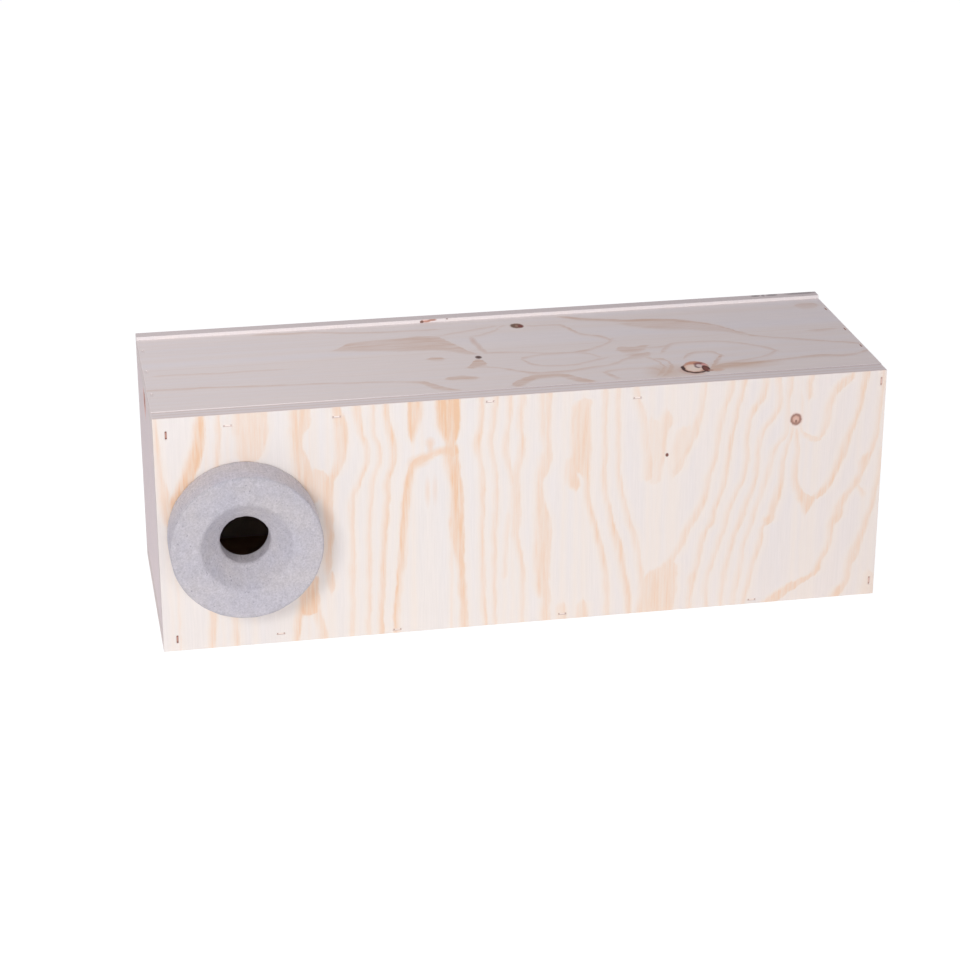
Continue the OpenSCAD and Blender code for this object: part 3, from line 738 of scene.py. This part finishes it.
def cast_ring():
    """The profile carried round the ring's axis. Each point moves along the section's outward
    normal by fine and coarse noise, no further out than the mould, and into shallow pits. The foot
    of the wall is chipped back by up to 0.7 mm, less and less over 1.6 mm of height."""
    turns = 360
    fine, coarse, pit_depth, mould = 0.05, 0.07, 0.35, 0.12
    chip_depth, chip_height = 0.35, 1.6
    section = ring_profile()
    step = np.roll(section, -1, 0) - np.roll(section, 1, 0)
    normal = np.stack([step[:, 1], -step[:, 0]], 1)
    normal /= np.linalg.norm(normal, axis=1, keepdims=True)
    rng = np.random.default_rng(7)
    shape = (turns, len(section))
    relief = fine * smooth_noise(rng, shape, 1) + coarse * smooth_noise(rng, shape, 12)
    relief -= pit_depth * np.clip(smooth_noise(rng, shape, 2) - 2.1, 0, 1.5)
    radius, height = section.T
    relief = (np.minimum(relief, mould) - mould) * (height > 0.5)
    chip = np.clip(np.abs(smooth_noise(rng, (turns, 1), 3)), 0, 2)
    foot = np.clip(1 - height / chip_height, 0, None) * (radius > RING_R - 2)
    angle = np.arange(turns)[:, None] * 2 * math.pi / turns
    reach = radius + relief * normal[:, 0] - chip_depth * chip * foot
    x = RING_AXIS[0] + reach * np.cos(angle)
    y = RING_SEAT - height - relief * normal[:, 1]
    z = RING_AXIS[1] + reach * np.sin(angle)
    return np.stack([x, y, z], 2) * MM


def new_piece(name, points, faces):
    """A new object at the origin with that mesh."""
    mesh = bpy.data.meshes.new(name)
    mesh.from_pydata(points, [], faces)
    piece = bpy.data.objects.new(name, mesh)
    bpy.context.scene.collection.objects.link(piece)
    return piece


def closed_mesh(name, grid):
    """A mesh from a grid of points that closes on itself in both directions."""
    rows, columns = grid.shape[:2]
    index = np.arange(rows * columns).reshape(rows, columns)
    quads = np.stack([index, np.roll(index, -1, 0), np.roll(np.roll(index, -1, 0), -1, 1),
                      np.roll(index, -1, 1)], 2).reshape(-1, 4)
    piece = new_piece(name, grid.reshape(-1, 3), quads.tolist())
    piece.data.polygons.foreach_set("use_smooth", np.ones(len(quads), bool))
    piece.data.update()
    return piece


def wood_concrete():
    """Cement bound with fine wood chips, cast in a smooth mould and left raw: bluish grey and
    dull, with sandy grain and dark specks of chip. It is a little paler towards the bottom. Its wall
    and bore are painted 14 to 26 per cent paler, as painted light, in faint streaks where it was
    drawn out of the mould. Real sand is under 0.5 mm, and is drawn 1.3 mm across, so that it shows."""
    material, tree, shader = shaded("wood_concrete")
    place = add(tree, "TexCoord", out="Object")
    cloud = add(tree, "TexNoise", {"Vector": place, "Scale": 1 / (22 * MM), "Detail": 3.0})
    cloud = add(tree, "MapRange", {0: cloud, 1: 0.35, 2: 0.65})
    grey = add(tree, "Mix RGBA", {0: cloud, 6: linear("#C0BDC4"), 7: linear("#C6C1C3")}, 2)
    patch = add(tree, "TexNoise", {"Vector": place, "Scale": 1 / (3.5 * MM), "Detail": 2.0})
    grey = toned(tree, grey, patch, 0.95, 1.05)
    sand = add(tree, "TexNoise", {"Vector": place, "Scale": 1 / (1.3 * MM), "Detail": 3.0,
                                  "Roughness": 0.8})
    grey = toned(tree, grey, sand, 0.83, 1.16)
    height = add(tree, "SeparateXYZ", {0: place}, "Z")
    paler_below = add(tree, "MapRange", {0: height, 1: 35 * MM, 2: 134 * MM, 3: 1.03, 4: 0.965})
    grey = add(tree, "VectorMath SCALE", {0: grey, "Scale": paler_below})
    # Painted light: the sideways-facing wall and bore are brightened by 14 to 26 per cent, in faint
    # streaks along the ring's axis.
    drawn_out = grain_noise(tree, place, "Y", 14 * MM, 0.9 * MM, 2.0, 3.0, 0.6)
    wall_painted_light = add(tree, "MapRange", {0: drawn_out, 1: 0.35, 2: 0.65, 3: 1.14, 4: 1.26})
    facing = add(tree, "SeparateXYZ", {0: add(tree, "TexCoord", out="Normal")}, "Y")
    facing = add(tree, "Math ABSOLUTE", {0: facing})
    on_wall = add(tree, "MapRange", {0: facing, 1: 0.2, 2: 0.5, 3: 1.0, 4: 0.0})
    wall_painted_light = add(tree, "Mix FLOAT", {0: on_wall, 2: 1.0, 3: wall_painted_light})
    grey = add(tree, "VectorMath SCALE", {0: grey, "Scale": wall_painted_light})
    chips = add(tree, "TexNoise", {"Vector": place, "Scale": 1 / (2.0 * MM), "Detail": 1.0})
    dark = add(tree, "MapRange", {0: chips, 1: 0.68, 2: 0.76, 4: 0.6})
    grey = add(tree, "Mix RGBA", {0: dark, 6: grey, 7: linear("#85808C")}, 2)
    tree.links.new(grey, shader.inputs["Base Color"])
    shader.inputs["Roughness"].default_value = 0.9
    shader.inputs["IOR"].default_value = 1.5
    bump = add(tree, "Bump", {"Height": sand, "Strength": 0.6, "Distance": 0.25 * MM})
    tree.links.new(bump, shader.inputs["Normal"])
    return material


concrete = wood_concrete()
dress("entrance_ring", concrete)
ring = closed_mesh("cast_entrance_ring", cast_ring())
ring.data.materials.append(concrete)
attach(ring, "shell")
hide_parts("entrance_ring")

# Ring screws and back screws
#
# Countersunk wood screws of zinc-plated steel with a cross recess: four through the front panel
# into the ring, and eight through the back panel into the decks and the ends.


def plated_steel():
    """Cold-headed screw with bright zinc plating: pale grey metal, slightly clouded."""
    material, tree, shader = shaded("zinc_plated_steel")
    place = add(tree, "TexCoord", out="Object")
    cloud = add(tree, "TexNoise", {"Vector": place, "Scale": 1 / (1.5 * MM), "Detail": 2.0})
    tint = add(tree, "Mix RGBA", {0: cloud, 6: linear("#C4C6C8"), 7: linear("#E0E0DC")}, 2)
    tree.links.new(tint, shader.inputs["Base Color"])
    shader.inputs["Metallic"].default_value = 1.0
    shader.inputs["Roughness"].default_value = 0.35
    return material


zinc = plated_steel()
dress("ring_screws", zinc)

# Back panel
#
# A thinner, 9 mm board over the whole back, held by screws so that it comes off for cleaning. It
# stands 2.4 mm above the top, where its edge is rough from the saw.


def back_figure(tree, bare, fibres, place, axes, normals):
    """Inner face of the back panel, plain but for a small knot cut by the saw, and its upper edge,
    grey from the saw with a few torn spots."""
    face = bare
    for x, z, reach_x, reach_z, shade in ((205.8, 171.0, 2.2, 0.7, "#F4D6CE"),
                                          (207.0, 169.8, 2.8, 0.7, "#CC9C8C"),
                                          (211.0, 170.6, 3.2, 0.7, "#BE9080"),
                                          (203.6, 169.6, 1.3, 1.2, "#8A6458"),
                                          (222.0, 170.9, 0.8, 0.6, "#B4A29E")):
        face = knot(tree, face, place, (x, 0, z), (reach_x, 0, reach_z), blot(shade))
    edge = toned(tree, linear("#E1D6D2")[:3], fibres, 0.97, 1.03)
    for x, reach in ((453.5, 3), (459.3, 1.2), (466, 4), (488, 11)):
        edge = knot(tree, edge, place, (x, 6.8, 0), (reach, 2.2, 0), blot("#A39A99", cover=0.8))
    upward = add(tree, "Math GREATER_THAN", {0: normals["Z"], 1: 0.6})
    colour = add(tree, "Mix RGBA", {0: upward, 6: face, 7: edge}, 2)
    inward = add(tree, "Math LESS_THAN", {0: normals["Y"], 1: -0.6})
    return colour, add(tree, "Math MAXIMUM", {0: inward, 1: upward})


dress("back_panel", plywood("spruce_plywood_back", "back_panel", "Y", "Z", 3, 61.0, back_figure),
      ARRIS)
dress("back_screws", zinc)

# Floor, light and camera
#
# A white studio sweep. The camera sees it lit to white, apart from the box's own soft shadow. A
# wide low lamp faces the front, a small one at the left draws the ring's shadow, a third hangs over
# the box's left half, and the room fills the rest.


def seen(tree):
    """1 where the camera sees a surface itself or mirrored in gloss, and 0 for all other light."""
    rays = add(tree, "LightPath", out=None)
    return add(tree, "Math MAXIMUM", {0: rays.outputs["Is Camera Ray"], 1: rays.outputs["Is Glossy Ray"]})


def studio_floor():
    """A level square 12 m wide, 0.2 mm below the box, so that the two faces don't share a plane.
    White matt paper lights the box, and the camera sees grey paper lit to white, with a soft shadow."""
    half = 6.0
    low = -0.2 * MM
    corners = [(-half, -half, low), (half, -half, low), (half, half, low), (-half, half, low)]
    piece = new_piece("studio_floor", corners, [(0, 1, 2, 3)])
    material = bpy.data.materials.new("matt_white_paper")
    material.use_nodes = True
    tree = material.node_tree
    output = tree.nodes["Material Output"]
    looks = []
    for grey, glow in (("#F1F1F1", 0.06), ("#7C7C7C", 0.93)):
        paper = add(tree, "BsdfDiffuse", {"Color": linear(grey)})
        lit = add(tree, "Emission", {"Strength": glow})
        looks.append(add(tree, "AddShader", {0: paper, 1: lit}))
    surface = add(tree, "MixShader", {0: seen(tree), 1: looks[0], 2: looks[1]})
    tree.links.new(surface, output.inputs["Surface"])
    piece.data.materials.append(material)
    return piece


studio_floor()

world = bpy.data.worlds.new("studio_room")
bpy.context.scene.world = world
world.use_nodes = True
room = world.node_tree
room_seen = seen(room)
room_level = add(room, "MapRange", {0: room_seen, 3: 0.4, 4: 1.0})
room_tint = add(room, "Mix RGBA", {0: room_seen, 6: (0.95, 0.92, 1.03, 1), 7: (1, 1, 1, 1)}, 2)
background = room.nodes["Background"]
room.links.new(room_tint, background.inputs["Color"])
room.links.new(room_level, background.inputs["Strength"])


def turn_to(obj, place, aim):
    """Puts a lamp or camera at place with its -Z axis towards aim and its top up."""
    obj.location = Vector(place)
    obj.rotation_euler = Vector(aim - place).to_track_quat("-Z", "Y").to_euler()


def soft_box(name, width, height, energy, place, aim):
    """A flat lamp of that width and height in metres and power in watts."""
    data = bpy.data.lights.new(name, "AREA")
    data.shape = "RECTANGLE"
    data.size = width
    data.size_y = height
    data.energy = energy
    lamp = bpy.data.objects.new(name, data)
    bpy.context.scene.collection.objects.link(lamp)
    lamp.visible_camera = False
    turn_to(lamp, np.array(place), np.array(aim))


soft_box("side_lamp", 0.45, 0.45, 11.0, (-0.90, -1.56, 0.90), (0.0, -0.067, 0.085))
soft_box("front_lamp", 2.4, 0.5, 18.6, (-0.10, -2.70, 0.42), (0.0, -0.067, 0.085))
soft_box("upper_lamp", 0.4, 0.4, 0.48, (-0.28, 0.08, 0.62), (-0.15, 0.0, 0.17))

CAMERA_PLACE = np.array([-0.33016, -1.63842, 0.77840])
CAMERA_AHEAD = np.array([0.1714, 0.9064, -0.3861])
camera_data = bpy.data.cameras.new("photo_camera")
camera_data.lens = 96.61
camera_data.sensor_width = 36.0
camera_data.clip_end = 50.0
camera = bpy.data.objects.new("photo_camera", camera_data)
bpy.context.scene.collection.objects.link(camera)
turn_to(camera, CAMERA_PLACE, CAMERA_PLACE + CAMERA_AHEAD)
bpy.context.scene.camera = camera
bpy.context.scene.view_settings.view_transform = "Standard"
